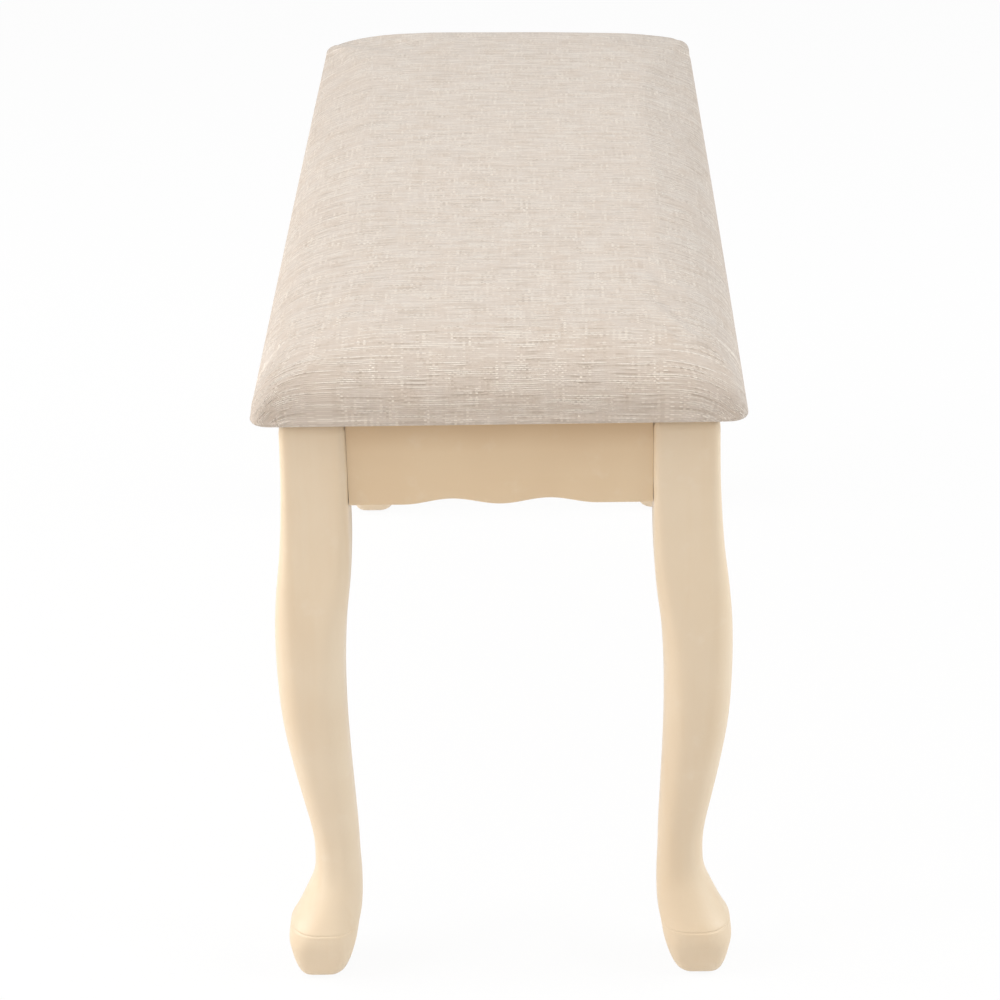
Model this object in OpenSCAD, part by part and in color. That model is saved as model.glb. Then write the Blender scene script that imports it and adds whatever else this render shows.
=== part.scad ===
// Upholstered vanity stool: four cabriole legs, scalloped aprons and a padded seat.
// Millimetres. +Z is up, the origin is on the floor under the middle of the seat,
// the long side runs along X and the front is towards -Y.

/* [Frame] */
// Length over the posts
frame_l = 674; // [520:1:760]
// Width over the posts
frame_w = 264; // [250:1:360]
// Height of the legs, from the floor to the underside of the seat
leg_h = 406; // [385:1:430]
// Side of the square post at the top of a leg
post = 40; // [36:1:44]

/* [Aprons] */
// Depth of the aprons at their ends
rail_h = 60; // [54:1:70]
// Thickness of the aprons
rail_t = 18; // [16:1:20]
// Distance of the aprons behind the faces of the posts
rail_setback = 4; // [2:1:6]
// Height of the two arches in the lower edge of an end apron
end_arch_h = 3.8; // [0:0.1:8]
// Width of one arch in the lower edge of an end apron
end_arch_w = 59; // [40:1:70]
// Height of the two arches in the lower edge of a side apron
side_arch_h = 9; // [0:0.1:12]
// Width of one arch in the lower edge of a side apron
side_arch_w = 170; // [100:1:190]

/* [Seat] */
// Length of the seat over its widest bulge
seat_l = 697; // [692:1:760]
// Width of the seat over its widest bulge
seat_w = 298; // [290:1:380]
// Thickness of the whole seat at its crown
seat_h = 52; // [48:0.5:64]
// Thickness of the seat board
board_t = 12; // [10:1:15]
// Thickness of the cover cloth
cloth_t = 1; // [0.8:0.1:1.5]
// Radius of the seat's corners in plan, at the widest bulge
corner_r = 11; // [8:1:20]
// How far each long side swells out at its middle
side_swell = 0.5; // [-3:0.5:3]

/* [Hardware] */
// Diameter of the dowels in the aprons' ends
dowel_d = 8; // [6:1:8]
// Diameter of the hanger bolts
bolt_d = 6; // [5:1:6]
// Diameter of the glides under the feet
glide_d = 20; // [16:1:24]

/* [Hidden] */

$fn = 32;
eps = 0.5;                      // how far a cutter runs past the face it cuts

LEFT = -1;
RIGHT = 1;
FRONT = -1;
BACK = 1;

// Colours
lacquer = "wheat";
linen = "antiquewhite";
raw_wood = "burlywood";
zinc = "silver";

// Leg: one row for each station, as height above the floor, the outer and the inner
// side measured inwards from the post's outer face, and how round the section is,
// from 0 for a sharp square to 1 for a circle.
glide_t = 2;
foot_arris = 36;                // height of the arris over the toe
leg_stations = [
    [glide_t, -7.5, 20.5, 0.5],
    [5, -9.2, 23.2, 0.45],
    [12, -11, 25.8, 0.45],
    [20, -13, 28.6, 0.5],
    [28, -14.2, 31, 0.6],
    [foot_arris, -14, 33, 0.7],
    [44, -8, 34.4, 0.84],
    [54, -2.8, 35.2, 0.88],
    [68, 3.6, 35.2, 0.86],
    [84, 5.3, 34.6, 0.84],
    [102, 4.6, 34.4, 0.82],
    [128, 0.5, 33.6, 0.8],
    [158, -4.4, 32.6, 0.78],
    [194, -8.9, 31.8, 0.74],
    [230, -10.4, 32.2, 0.7],
    [262, -9.9, 34.2, 0.6],
    [288, -7.6, 37.4, 0.45],
    [313, -4.4, 39, 0.32],
    [339, -2.2, 39.4, 0.24],
    [366, -0.8, post, 0.2],
    [leg_h, 0, post, 0.18]
];
leg_substeps = 2;               // rings between one station and the next
corner_steps = 5;               // facets in one rounded corner of the section

// Joint between a post and its aprons
rail_low = leg_h - rail_h;
rail_depth = rail_setback + rail_t / 2;         // middle of an apron's thickness
rail_back = rail_setback + rail_t;              // inner face of an apron
dowel_l = 30;
dowel_heights = [leg_h - 14, leg_h - 38];
scallop_step = 4;

// Corner block: a bar cut at 45 degrees at both ends, behind the post
block_h = 40;
block_top = leg_h - 4;
block_low = block_top - block_h;
block_near = 71;                // a + b along its face towards the post
block_far = 105;                // a + b along its face towards the room
post_chamfer = 68;              // a + b along the chamfer of the post's inner corner
bolt_z = block_low + block_h / 2;
bolt_in_post = 25;
bolt_past_block = 17;
washer_t = 1.5;
washer_d = 18;
nut_h = 8;
screw_d = 4;
screw_head_d = 8;
screw_head_h = 2.6;
block_screw_offset = 70;        // from the post's outer face, along each apron
block_screw_z = block_top - 12;
block_screw_l = 22;
block_screw_head = 32;          // where the head is seated, from the post's outer face
seat_screw_a = 63.5;
seat_screw_b = 35.5;
seat_screw_z = block_low + 18;  // where the head is seated
seat_screw_l = 34;

// Seat: one row for each ring of the cushion, as height above the seat's underside
// and distance inside the widest bulge.
cushion_rings = [
    [0, 4.5], [1, 1.2], [4, 0.4], [8.5, 0], [14.5, 5],
    [21, 11], [27, 19], [33, 29], [38, 39.5], [42.5, 54]
];
crown_steps = [0.18, 0.38, 0.6, 0.8, 0.97];
long_side_points = 7;
short_side_points = 3;
ring_corner_growth = 1;         // growth of the corner radius as the rings go inwards
board_inset = 7;
board_corner_r = corner_r + 3;
fold_w = 42;                    // width of the cloth folded under the board
dust_gap = 0.5;

staple_l = 10;
staple_wire = 0.8;
staple_leg = 6;
staple_inset = 38;              // from the board's edge
staple_pitch = 32;

// Nail of a glide
nail_d = 2;
nail_l = 14;

// ---------------------------------------------------------------- general shapes

// Stands a corner's own frame at one of the four posts: a and b run inwards from the
// outer faces of the post, along X and along Y.
module at_corner(x_side, y_side) {
    translate([x_side * frame_l / 2, y_side * frame_w / 2, 0])
        mirror([x_side == RIGHT ? 1 : 0, 0, 0])
            mirror([0, y_side == BACK ? 1 : 0, 0])
                children();
}

module at_each_corner() {
    for (x_side = [LEFT, RIGHT], y_side = [FRONT, BACK])
        at_corner(x_side, y_side) children();
}

// Skin over a stack of rings that all have the same number of points.
module loft(rings) {
    n = len(rings[0]);
    last = len(rings) - 1;
    points = [for (ring = rings) each ring];
    low_mid = len(points);
    top_mid = low_mid + 1;
    sides = [
        for (k = [0:last - 1], i = [0:n - 1])
            let (j = (i + 1) % n, p = k * n, q = (k + 1) * n)
                each [[p + i, q + i, q + j], [p + i, q + j, p + j]]
    ];
    low_cap = [for (i = [0:n - 1]) [low_mid, i, (i + 1) % n]];
    top_cap = [for (i = [0:n - 1]) [top_mid, last * n + (i + 1) % n, last * n + i]];
    polyhedron(
        points = concat(points, [middle(rings[0]), middle(rings[last])]),
        faces = concat(sides, low_cap, top_cap),
        convexity = 4
    );
}

function middle(ring) = [for (axis = [0:2]) sum([for (p = ring) p[axis]]) / len(ring)];
function sum(values, i = 0) = i == len(values) ? 0 : values[i] + sum(values, i + 1);

// Outline of a rectangle with round corners, anticlockwise, with extra points on its
// straight sides so that they can be bent.
function round_rect(half_x, half_y, r, steps, side_x = 0, side_y = 0) =
    let (
        cx = half_x - r,
        cy = half_y - r,
        arc = function (x, y, from)
            [for (k = [0:steps]) let (t = from + 90 * k / steps) [x + r * cos(t), y + r * sin(t)]],
        run = function (p, q, count)
            [for (k = [1:1:count]) p + (q - p) * k / (count + 1)]
    )
    concat(
        arc(cx, cy, 0), run([cx, half_y], [-cx, half_y], side_x),
        arc(-cx, cy, 90), run([-half_x, cy], [-half_x, -cy], side_y),
        arc(-cx, -cy, 180), run([-cx, -half_y], [cx, -half_y], side_x),
        arc(cx, -cy, 270), run([half_x, -cy], [half_x, cy], side_y)
    );

module rounded_plate(length, width, thickness, r) {
    linear_extrude(thickness)
        polygon(round_rect(length / 2, width / 2, r, 8));
}

// Wood screw along +Z, with its head's flat face at z = 0 and its point at the top.
module wood_screw(length) {
    point_l = 5;
    rotate_extrude()
        polygon([
            [0, 0], [screw_head_d / 2, 0], [screw_d / 2, screw_head_h],
            [screw_d / 2, length - point_l], [0, length]
        ]);
}

// ---------------------------------------------------------------- legs

// Slope of one column of the stations at station i. The arris breaks the curve.
function station_slope(column, i, upward) =
    let (
        last = len(leg_stations) - 1,
        arris = leg_stations[i][0] == foot_arris,
        from = i == 0 || (arris && upward) ? i : i - 1,
        to = i == last || (arris && !upward) ? i : i + 1
    )
    (leg_stations[to][column] - leg_stations[from][column])
        / (leg_stations[to][0] - leg_stations[from][0]);

// Smooth curve between station i and the next, t from 0 to 1.
function between_stations(column, i, t) =
    let (
        p = leg_stations[i],
        q = leg_stations[i + 1],
        dz = q[0] - p[0],
        t2 = t * t,
        t3 = t2 * t
    )
    (2 * t3 - 3 * t2 + 1) * p[column] + (3 * t2 - 2 * t3) * q[column]
        + (t3 - 2 * t2 + t) * dz * station_slope(column, i, true)
        + (t3 - t2) * dz * station_slope(column, i + 1, false);

// Section of the leg: a square with round corners, its middle on the corner's diagonal.
function leg_ring(z, outer, inner, roundness) =
    let (
        half = (inner - outer) / 2,
        centre = (inner + outer) / 2,
        outline = round_rect(half, half, half * min(roundness, 0.999), corner_steps)
    )
    [for (p = outline) [centre + p[0], centre + p[1], z]];

function leg_rings() =
    let (last = len(leg_stations) - 1, top = leg_stations[last])
    concat(
        [
            for (i = [0:last - 1], s = [0:leg_substeps - 1])
                let (t = s / leg_substeps, z0 = leg_stations[i][0], z1 = leg_stations[i + 1][0])
                    leg_ring(
                        z0 + (z1 - z0) * t,
                        between_stations(1, i, t),
                        between_stations(2, i, t),
                        between_stations(3, i, t)
                    )
        ],
        [leg_ring(top[0], top[1], top[2], top[3])]
    );

// A leg in its corner's own frame, with the bores for its bolt, dowels and glide.
module leg() {
    foot = leg_stations[0];
    foot_mid = (foot[1] + foot[2]) / 2;
    color(lacquer)
        difference() {
            loft(leg_rings());
            post_corner_cut();
            along_diagonal(post_chamfer - bolt_in_post * sqrt(2), bolt_z)
                cylinder(d = bolt_d, h = bolt_in_post + eps);
            for (z = dowel_heights) {
                translate([rail_depth, post - dowel_l / 2, z])
                    rotate([-90, 0, 0]) cylinder(d = dowel_d, h = dowel_l / 2 + eps);
                translate([post - dowel_l / 2, rail_depth, z])
                    rotate([0, 90, 0]) cylinder(d = dowel_d, h = dowel_l / 2 + eps);
            }
            translate([foot_mid, foot_mid, glide_t - eps])
                cylinder(d = nail_d, h = nail_l + eps);
        }
}

// The chamfer that the bolt draws against the corner block.
module post_corner_cut() {
    size = 60;
    rotate([0, 0, 45])
        translate([post_chamfer / sqrt(2), -size / 2, block_low - 2])
            cube([size, size, block_h + size]);
}

// Turns +Z along the corner's diagonal, starting where a + b has the given value.
module along_diagonal(a_plus_b, z) {
    translate([a_plus_b / 2, a_plus_b / 2, z])
        rotate([0, 0, 45])
            rotate([0, 90, 0])
                children();
}

// ---------------------------------------------------------------- aprons

// Rise of the lower edge at distance x from the middle: two arches with a lobe between.
function scallop(x, arch_h, arch_w) =
    abs(x) >= arch_w ? 0 : arch_h * (1 - cos(360 * x / arch_w)) / 2;

module rail_board(length, arch_h, arch_w) {
    half = length / 2;
    lower_edge = [
        for (k = [0:floor(length / scallop_step)])
            let (x = -half + length * k / floor(length / scallop_step))
                [x, rail_low + scallop(x, arch_h, arch_w)]
    ];
    difference() {
        translate([0, rail_t / 2, 0])
            rotate([90, 0, 0])
                linear_extrude(rail_t)
                    polygon(concat(lower_edge, [[half, leg_h], [-half, leg_h]]));
        for (end = [-1, 1], z = dowel_heights)
            translate([end * half, 0, z])
                rotate([0, -90 * end, 0])
                    translate([0, 0, -eps])
                        cylinder(d = dowel_d, h = dowel_l / 2 + eps);
    }
}

module end_rail(x_side) {
    color(lacquer)
        difference() {
            translate([x_side * (frame_l / 2 - rail_depth), 0, 0])
                rotate([0, 0, 90])
                    rail_board(frame_w - 2 * post, end_arch_h, end_arch_w);
            at_each_corner() end_rail_screw_hole();
        }
}

module side_rail(y_side) {
    color(lacquer)
        difference() {
            translate([0, y_side * (frame_w / 2 - rail_depth), 0])
                rail_board(frame_l - 2 * post, side_arch_h, side_arch_w);
            at_each_corner() side_rail_screw_hole();
        }
}

module rail_dowels() {
    color(raw_wood)
        at_each_corner()
            for (z = dowel_heights) {
                translate([rail_depth, post - dowel_l / 2, z])
                    rotate([-90, 0, 0]) cylinder(d = dowel_d, h = dowel_l);
                translate([post - dowel_l / 2, rail_depth, z])
                    rotate([0, 90, 0]) cylinder(d = dowel_d, h = dowel_l);
            }
}

// ---------------------------------------------------------------- corner blocks

module end_rail_screw_hole() {
    translate([block_screw_head, block_screw_offset, block_screw_z])
        rotate([0, -90, 0]) cylinder(d = screw_d, h = block_screw_l);
}

module side_rail_screw_hole() {
    translate([block_screw_offset, block_screw_head, block_screw_z])
        rotate([90, 0, 0]) cylinder(d = screw_d, h = block_screw_l);
}

// Bar between the two aprons, bored for the hanger bolt, its two screws and the seat screw.
module corner_block() {
    pocket = 20;
    color(raw_wood)
        difference() {
            translate([0, 0, block_low])
                linear_extrude(block_h)
                    polygon([
                        [rail_back, block_near - rail_back], [rail_back, block_far - rail_back],
                        [block_far - rail_back, rail_back], [block_near - rail_back, rail_back]
                    ]);
            along_diagonal(block_near - 2, bolt_z)
                cylinder(d = bolt_d + 1, h = block_far);
            end_rail_screw_hole();
            side_rail_screw_hole();
            translate([block_screw_head - screw_head_h, block_screw_offset, block_screw_z])
                rotate([0, 90, 0]) cylinder(d = screw_head_d + 0.4, h = pocket);
            translate([block_screw_offset, block_screw_head - screw_head_h, block_screw_z])
                rotate([-90, 0, 0]) cylinder(d = screw_head_d + 0.4, h = pocket);
            translate([seat_screw_a, seat_screw_b, block_low - eps])
                cylinder(d = screw_d, h = block_h + 2 * eps);
            translate([seat_screw_a, seat_screw_b, block_low - eps])
                cylinder(d = screw_head_d + 1, h = seat_screw_z + screw_head_h - block_low + eps);
        }
}

module block_screws() {
    color(zinc)
        at_each_corner() {
            translate([block_screw_head, block_screw_offset, block_screw_z])
                rotate([0, -90, 0]) wood_screw(block_screw_l);
            translate([block_screw_offset, block_screw_head, block_screw_z])
                rotate([90, 0, 0]) wood_screw(block_screw_l);
        }
}

// Hanger bolts: a wood screw end in the post and a machine thread through the block.
module hanger_bolts() {
    through_block = (block_far - post_chamfer) / sqrt(2);
    length = bolt_in_post + through_block + bolt_past_block;
    pitch = 2;
    groove = 0.4;
    grooves = floor((bolt_past_block + 6) / pitch);
    thread = [
        for (k = [0:grooves - 1], side = [0, 1])
            [bolt_d / 2 - groove * side, length - 1 - pitch * (grooves - k) + pitch / 2 * side]
    ];
    color(zinc)
        at_each_corner()
            along_diagonal(post_chamfer - bolt_in_post * sqrt(2), bolt_z)
                rotate_extrude()
                    polygon(concat(
                        [[0, 0], [0.8, 0], [bolt_d / 2, 5]],
                        thread,
                        [[bolt_d / 2 - groove, length], [0, length]]
                    ));
}

module bolt_washers() {
    color(zinc)
        at_each_corner()
            along_diagonal(block_far, bolt_z)
                difference() {
                    cylinder(d = washer_d, h = washer_t);
                    translate([0, 0, -eps]) cylinder(d = bolt_d + 0.6, h = washer_t + 2 * eps);
                }
}

// Wing nut: a tapered boss with two upswept wings.
module wing_nut() {
    boss_r = 5.5;
    wing_span = 13;
    wing_rise = 12;
    wing_t = 2.2;
    difference() {
        union() {
            rotate_extrude()
                polygon([[0, 0], [boss_r, 0], [boss_r, 2], [boss_r - 1.2, nut_h], [0, nut_h]]);
            for (side = [-1, 1])
                translate([0, wing_t / 2, 0])
                    rotate([90, 0, 0])
                        linear_extrude(wing_t)
                            polygon([
                                [side * 2, 1.5], [side * (boss_r + 1), 1.5], [side * (wing_span - 1), 6],
                                [side * wing_span, wing_rise - 2], [side * (wing_span - 2), wing_rise],
                                [side * (wing_span - 5), wing_rise - 1], [side * boss_r, nut_h - 2],
                                [side * 2, nut_h - 2]
                            ]);
        }
        translate([0, 0, -eps]) cylinder(d = bolt_d, h = nut_h + wing_rise);
    }
}

module wing_nuts() {
    color(zinc)
        at_each_corner()
            along_diagonal(block_far + washer_t * sqrt(2), bolt_z)
                wing_nut();
}

// ---------------------------------------------------------------- seat

// One ring of the cushion, shrunk by the cloth on the inside of the cover.
function cushion_ring(z, inset, shrink, t = 0) =
    let (
        half_y = (seat_w / 2 - inset) * (1 - t),
        half_x = seat_l / 2 - inset - (seat_w / 2 - inset) * t,
        r = min((corner_r + inset * ring_corner_growth) * (1 - t), half_y * 0.95),
        outline = round_rect(
            half_x - shrink, half_y - shrink * (1 - t), max(r - shrink, r / 2),
            corner_steps, long_side_points, short_side_points
        )
    )
    [for (p = outline) [p[0], p[1] * (1 + swell_at(p[0])), z]];

function swell_at(x) = side_swell / (seat_w / 2) * (1 - pow(2 * x / seat_l, 2));

// Solid of the cushion: the rolled edge, and above it the crown.
module cushion(shrink) {
    edge = len(cushion_rings) - 1;
    edge_z = cushion_rings[edge][0];
    edge_inset = cushion_rings[edge][1];
    crown_h = seat_h - edge_z;
    z_of = function (z) leg_h + max(z, shrink) - (z > seat_h / 2 ? shrink : 0);
    loft(concat(
        [for (ring = cushion_rings) cushion_ring(z_of(ring[0]), ring[1], shrink)],
        [
            for (t = crown_steps)
                cushion_ring(z_of(edge_z + crown_h * (1 - pow(1 - t, 2))), edge_inset, shrink, t)
        ]
    ));
}

module board_shape(from, to, grow = 0) {
    translate([0, 0, from])
        rounded_plate(
            seat_l - 2 * board_inset + 2 * grow, seat_w - 2 * board_inset + 2 * grow,
            to - from, board_corner_r
        );
}

module seat_board() {
    color(raw_wood)
        difference() {
            board_shape(leg_h + cloth_t, leg_h + cloth_t + board_t);
            at_each_corner() seat_screw_hole();
        }
}

module seat_screw_hole() {
    translate([seat_screw_a, seat_screw_b, seat_screw_z])
        cylinder(d = screw_d, h = seat_screw_l);
}

module foam_pad() {
    color("lightyellow")
        difference() {
            cushion(cloth_t);
            board_shape(leg_h, leg_h + cloth_t + board_t);
        }
}

// Opening that the folded-under edge of the cover leaves below the board.
module fold_opening(from, to, gap = 0) {
    translate([0, 0, from])
        rounded_plate(
            seat_l - 2 * (board_inset + fold_w) - 2 * gap,
            seat_w - 2 * (board_inset + fold_w) - 2 * gap,
            to - from, board_corner_r
        );
}

module seat_cover() {
    color(linen)
        difference() {
            cushion(0);
            cushion(cloth_t);
            fold_opening(leg_h - eps, leg_h + cloth_t + eps);
        }
}

module dust_cover() {
    color("dimgray")
        difference() {
            fold_opening(leg_h, leg_h + cloth_t, dust_gap);
            at_each_corner() seat_screw_hole();
        }
}

// Staple through the fold into the board, its back along X.
module staple() {
    translate([-staple_l / 2, -staple_wire / 2, leg_h - staple_wire / 2])
        cube([staple_l, staple_wire, staple_wire / 2]);
    for (end = [-1, 1])
        translate([end * (staple_l - staple_wire) / 2 - staple_wire / 2, -staple_wire / 2, leg_h])
            cube([staple_wire, staple_wire, staple_leg]);
}

module cover_staples() {
    long_row = seat_l / 2 - board_inset - staple_inset;
    short_row = seat_w / 2 - board_inset - staple_inset;
    long_reach = frame_l / 2 - post - staple_l;
    long_count = floor(2 * long_reach / staple_pitch);
    short_reach = frame_w / 2 - post - staple_l;
    short_count = floor(2 * short_reach / staple_pitch);
    color(zinc) {
        for (side = [-1, 1], k = [0:long_count])
            translate([-long_reach + 2 * long_reach * k / long_count, side * short_row, 0])
                staple();
        for (side = [-1, 1], k = [0:short_count])
            translate([side * long_row, -short_reach + 2 * short_reach * k / short_count, 0])
                rotate([0, 0, 90]) staple();
    }
}

module seat_screws() {
    color(zinc)
        at_each_corner()
            translate([seat_screw_a, seat_screw_b, seat_screw_z])
                wood_screw(seat_screw_l);
}

// ---------------------------------------------------------------- glides

// Nail-on glide: a flat-bottomed button with a pressed-in nail.
module glide() {
    foot = leg_stations[0];
    foot_mid = (foot[1] + foot[2]) / 2;
    color("white")
        translate([foot_mid, foot_mid, 0])
            rotate_extrude()
                polygon([
                    [0, 0], [glide_d / 2 - 1.2, 0], [glide_d / 2, 0.8], [glide_d / 2, glide_t],
                    [nail_d / 2, glide_t], [nail_d / 2, glide_t + nail_l - 2], [0, glide_t + nail_l]
                ]);
}

// ---------------------------------------------------------------- assembly

at_corner(LEFT, FRONT) leg();  // leg_front_left
at_corner(RIGHT, FRONT) leg();  // leg_front_right
at_corner(LEFT, BACK) leg();  // leg_back_left
at_corner(RIGHT, BACK) leg();  // leg_back_right
end_rail(LEFT);  // end_rail_left
end_rail(RIGHT);  // end_rail_right
side_rail(FRONT);  // side_rail_front
side_rail(BACK);  // side_rail_back
rail_dowels();
at_corner(LEFT, FRONT) corner_block();  // corner_block_front_left
at_corner(RIGHT, FRONT) corner_block();  // corner_block_front_right
at_corner(LEFT, BACK) corner_block();  // corner_block_back_left
at_corner(RIGHT, BACK) corner_block();  // corner_block_back_right
block_screws();
hanger_bolts();
bolt_washers();
wing_nuts();
seat_board();
foam_pad();
seat_cover();
dust_cover();
cover_staples();
seat_screws();
at_corner(LEFT, FRONT) glide();  // glide_front_left
at_corner(RIGHT, FRONT) glide();  // glide_front_right
at_corner(LEFT, BACK) glide();  // glide_back_left
at_corner(RIGHT, BACK) glide();  // glide_back_right
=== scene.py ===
"""Upholstered vanity stool: cabriole legs, scalloped aprons and a padded seat in slub linen.

Metres, +Z up, the long side along X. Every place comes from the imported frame.
"""
import math
import bmesh
import bpy
from mathutils import Matrix, Vector, noise


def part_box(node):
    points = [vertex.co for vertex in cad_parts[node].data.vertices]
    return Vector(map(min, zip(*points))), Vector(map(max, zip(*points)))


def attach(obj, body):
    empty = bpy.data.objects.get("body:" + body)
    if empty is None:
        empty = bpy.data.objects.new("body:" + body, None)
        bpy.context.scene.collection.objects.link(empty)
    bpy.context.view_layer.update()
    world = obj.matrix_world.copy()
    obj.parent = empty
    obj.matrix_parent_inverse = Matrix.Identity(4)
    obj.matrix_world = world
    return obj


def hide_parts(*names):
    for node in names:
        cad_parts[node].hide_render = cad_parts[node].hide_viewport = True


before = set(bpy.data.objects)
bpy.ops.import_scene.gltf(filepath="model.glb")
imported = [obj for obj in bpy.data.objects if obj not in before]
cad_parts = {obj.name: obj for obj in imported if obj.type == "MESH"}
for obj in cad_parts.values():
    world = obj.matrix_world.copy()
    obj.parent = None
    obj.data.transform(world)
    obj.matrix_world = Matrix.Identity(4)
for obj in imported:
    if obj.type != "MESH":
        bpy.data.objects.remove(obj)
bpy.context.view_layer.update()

MM = 0.001
QUARTER = math.pi / 2
LEFT, RIGHT = -1, 1
FRONT, BACK = -1, 1
CORNERS = {
    "front_left": (LEFT, FRONT), "front_right": (RIGHT, FRONT),
    "back_left": (LEFT, BACK), "back_right": (RIGHT, BACK),
}

# ---------------------------------------------------------------- sizes from the frame

RAIL_SETBACK = 4 * MM
HALF_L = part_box("end_rail_right")[1].x + RAIL_SETBACK
HALF_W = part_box("side_rail_back")[1].y + RAIL_SETBACK
LEG_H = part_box("leg_front_left")[1].z
RAIL_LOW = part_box("end_rail_right")[0].z
SEAT_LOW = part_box("seat_cover")[0].z
SEAT_HALF_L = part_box("seat_cover")[1].x
SIDE_SWELL = 0.5 * MM           # how much further the long sides swell out at their middle
SIDE_DRAWN_IN = 0.6 * MM        # how far the stretched cover draws the sides in
SEAT_HALF_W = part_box("seat_cover")[1].y - SIDE_SWELL - SIDE_DRAWN_IN

# ---------------------------------------------------------------- camera

CAMERA_PLACE = Vector((1.7815, 0.0291, 1.1031))
CAMERA_AIM = Vector((0.3, -0.0011, 0.3321))
CAMERA_ROLL = math.radians(-1.25)
CAMERA_LENS = 97.2


def add_camera():
    camera = bpy.data.objects.new("camera", bpy.data.cameras.new("camera"))
    bpy.context.scene.collection.objects.link(camera)
    camera.data.lens = CAMERA_LENS
    forward = (CAMERA_AIM - CAMERA_PLACE).normalized()
    level = forward.cross(Vector((0, 0, 1))).normalized()
    upright = level.cross(forward)
    right = math.cos(CAMERA_ROLL) * level + math.sin(CAMERA_ROLL) * upright
    up = right.cross(forward)
    turn = Matrix((right, up, -forward)).transposed()
    camera.matrix_world = Matrix.Translation(CAMERA_PLACE) @ turn.to_4x4()
    bpy.context.scene.camera = camera


# ---------------------------------------------------------------- finishes

def srgb(red, green, blue):
    """Linear colour of an 8-bit one."""
    channels = [value / 255 for value in (red, green, blue)]
    linear = [c / 12.92 if c <= 0.04045 else ((c + 0.055) / 1.055) ** 2.4 for c in channels]
    return (*linear, 1)


class Finish:
    """A node material being put together."""

    def __init__(self, name, **surface):
        self.material = bpy.data.materials.new(name)
        self.material.use_nodes = True
        self.tree = self.material.node_tree
        self.surface = self.tree.nodes["Principled BSDF"]
        for socket, value in surface.items():
            self.surface.inputs[socket.replace("_", " ")].default_value = value

    def add(self, kind, settings=None, **inputs):
        """A node; its inputs are numbers, colours or other nodes' outputs."""
        made = self.tree.nodes.new("ShaderNode" + kind)
        for setting, value in (settings or {}).items():
            setattr(made, setting, value)
        for socket, value in inputs.items():
            self.feed(made.inputs[socket.replace("_", " ")], value)
        return made

    def feed(self, socket, value):
        if isinstance(value, bpy.types.NodeSocket):
            self.tree.links.new(value, socket)
        else:
            socket.default_value = value

    def math(self, operation, first, second=0.0):
        made = self.add("Math", {"operation": operation})
        self.feed(made.inputs[0], first)
        self.feed(made.inputs[1], second)
        return made.outputs[0]

    def mapped(self, source, scale):
        return self.add("Mapping", Vector=source, Scale=scale).outputs["Vector"]

    def noise(self, vector, scale, detail=2.0, rough=0.5):
        made = self.add("TexNoise", Vector=vector, Scale=scale, Detail=detail, Roughness=rough)
        return made.outputs["Fac"]

    def stretch(self, value, low, high, to_low=0.0, to_high=1.0):
        """Value taken from low..high to to_low..to_high, and held at the ends."""
        made = self.add("MapRange", Value=value)
        limits = {"From Min": low, "From Max": high, "To Min": to_low, "To Max": to_high}
        for socket, limit in limits.items():
            made.inputs[socket].default_value = limit
        return made.outputs["Result"]

    def blend(self, factor, first, second):
        made = self.add("Mix", {"data_type": "RGBA"})
        self.feed(made.inputs[0], factor)
        self.feed(made.inputs[6], first)
        self.feed(made.inputs[7], second)
        return made.outputs[2]

    def colour(self, value):
        self.feed(self.surface.inputs["Base Color"], value)

    def roughness(self, value):
        self.feed(self.surface.inputs["Roughness"], value)

    def relief(self, height, distance):
        bump = self.add("Bump", Height=height, Distance=distance, Strength=1.0)
        self.tree.links.new(bump.outputs["Normal"], self.surface.inputs["Normal"])

    def place(self):
        return self.add("TexCoord").outputs["Object"]


LACQUER_STREAK = srgb(219, 193, 156)
LACQUER_WORN = srgb(235, 224, 206)
# colour of the painted shade just under the seat
LACQUER_UNDER_SEAT_SHADE = srgb(188, 156, 116)
UNDER_SEAT_SHADE_DEPTH = 24 * MM           # how far below the seat the painted shade fades out


def lacquer(name, grain, cream, shade, under_seat_shade=0.0):
    """Satin cream lacquer over faint grain; grain is the scale along X, Y and Z.

    The last argument is painted shade: how much the lacquer darkens towards the seat, standing in for
    the shade the seat casts.
    """
    finish = Finish(name, Coat_Weight=0.14, Coat_Roughness=0.4, Specular_IOR_Level=0.5)
    place = finish.place()
    streaks = finish.noise(finish.mapped(place, grain), 1.0, 3.0, 0.6)
    blotches = finish.noise(place, 14.0, 2.0, 0.5)
    worn = finish.noise(place, 55.0, 3.0, 0.6)
    base = finish.blend(finish.stretch(blotches, 0.35, 0.65), shade, cream)
    base = finish.blend(finish.stretch(streaks, 0.5, 0.78, 0, 0.3), base, LACQUER_STREAK)
    base = finish.blend(finish.stretch(worn, 0.6, 0.75, 0, 0.2), base, LACQUER_WORN)
    up = finish.add("SeparateXYZ", Vector=place).outputs["Z"]
    # painted shade: darker towards the seat, which shades the aprons' tops
    seat_shade_share = finish.stretch(up, LEG_H - UNDER_SEAT_SHADE_DEPTH, LEG_H)
    seat_shade_share = finish.math("POWER", seat_shade_share, 1.3)
    finish.colour(finish.blend(finish.math("MULTIPLY", seat_shade_share, under_seat_shade), base, LACQUER_UNDER_SEAT_SHADE))
    finish.roughness(finish.stretch(worn, 0.3, 0.7, 0.4, 0.52))
    finish.relief(finish.noise(place, 420.0, 1.0, 0.4), 0.00006)
    return finish.material


WARP_PITCH = 1.8 * MM           # threads along the stool
WEFT_PITCH = 1.3 * MM           # threads across it
LINEN_BASE = srgb(204, 194, 184)
LINEN_WARM = srgb(202, 189, 176)
# colour of the dark threads, and of the painted shade in the gaps between threads
LINEN_GAP = srgb(168, 154, 138)
LINEN_SLUB = srgb(238, 229, 217)
THREAD_WANDER = 1.6 * MM        # how far a thread strays from its straight course
WEFT_SLUBS = 30.0               # changes of thickness along a metre of thread
WARP_SLUBS = 40.0
THREAD_APART = 3.7              # sets neighbouring threads apart in the noise


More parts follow.
